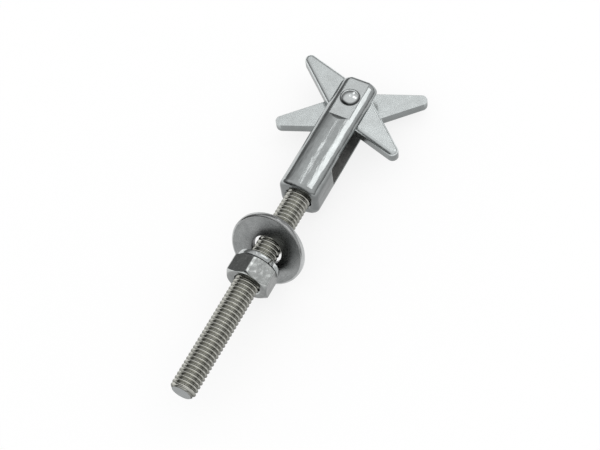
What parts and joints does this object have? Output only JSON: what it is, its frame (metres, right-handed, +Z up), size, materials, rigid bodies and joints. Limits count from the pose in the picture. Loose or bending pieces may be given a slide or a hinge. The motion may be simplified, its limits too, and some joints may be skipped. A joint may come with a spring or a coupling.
{
  "type": "spring toggle bolt",
  "caption": "Spring toggle bolt: sprung crossed wings pivot in a slotted yoke on a threaded stud that carries a nut, a lock washer and a flat washer, to hang things from a hollow ceiling.",
  "frame": {"origin": "on the surface that the bolt lies on, under the middle of its length and width", "axes": "+X along the stud from its tail to the yoke's head, +Z up, near the rivet's axis"},
  "size_m": [0.0918, 0.032, 0.0163],
  "materials": {
    "stud_steel": "plated thread",
    "yoke_steel": "polished",
    "rivet_steel": "bright",
    "wing_steel": "satin",
    "spring_wire": "drawn wire",
    "nut_steel": "plated",
    "washer_steel": "satin plated"
  },
  "bodies": {
    "root": {"threaded_stud": "stud_steel", "yoke": "yoke_steel", "pivot_rivet": "rivet_steel"},
    "front_wing": {"front_wing": "wing_steel"},
    "rear_wing": {"rear_wing": "wing_steel", "wing_spring": "spring_wire"},
    "nut_carriage": {"lock_washer": "washer_steel"},
    "nut": {"hex_nut": "nut_steel"},
    "washer": {"flat_washer": "washer_steel"}
  },
  "joints": [
    {"name": "front_wing_pivot", "type": "hinge", "parent": "root", "child": "front_wing", "pos_m": [0.03526, 0, 0.00533], "axis": [0.0672, 0, 0.9977], "range_deg": [-61.5, 28.5], "stiffness_Nm_per_rad": 0.01},
    {"name": "rear_wing_pivot", "type": "hinge", "parent": "root", "child": "rear_wing", "pos_m": [0.03526, 0, 0.00533], "axis": [0.0672, 0, 0.9977], "range_deg": [-34, 56], "stiffness_Nm_per_rad": 0.01},
    {"name": "nut_advance", "type": "slide", "parent": "root", "child": "nut_carriage", "axis": [0.9977, 0, -0.0672], "range_m": [-0.027, 0]},
    {"name": "nut_turn", "type": "hinge", "parent": "nut_carriage", "child": "nut", "pos_m": [-0.01413, 0, 0.00866], "axis": [0.9977, 0, -0.0672], "range_deg": [-9725, 5]},
    {"name": "washer_slide", "type": "slide", "parent": "root", "child": "washer", "axis": [0.9977, 0, -0.0672], "range_m": [-0.00075, 0.01118]}
  ],
  "couplings": [
    {"joint": "nut_turn", "follows": "nut_advance", "rad_per_m": 6283.2}
  ]
}
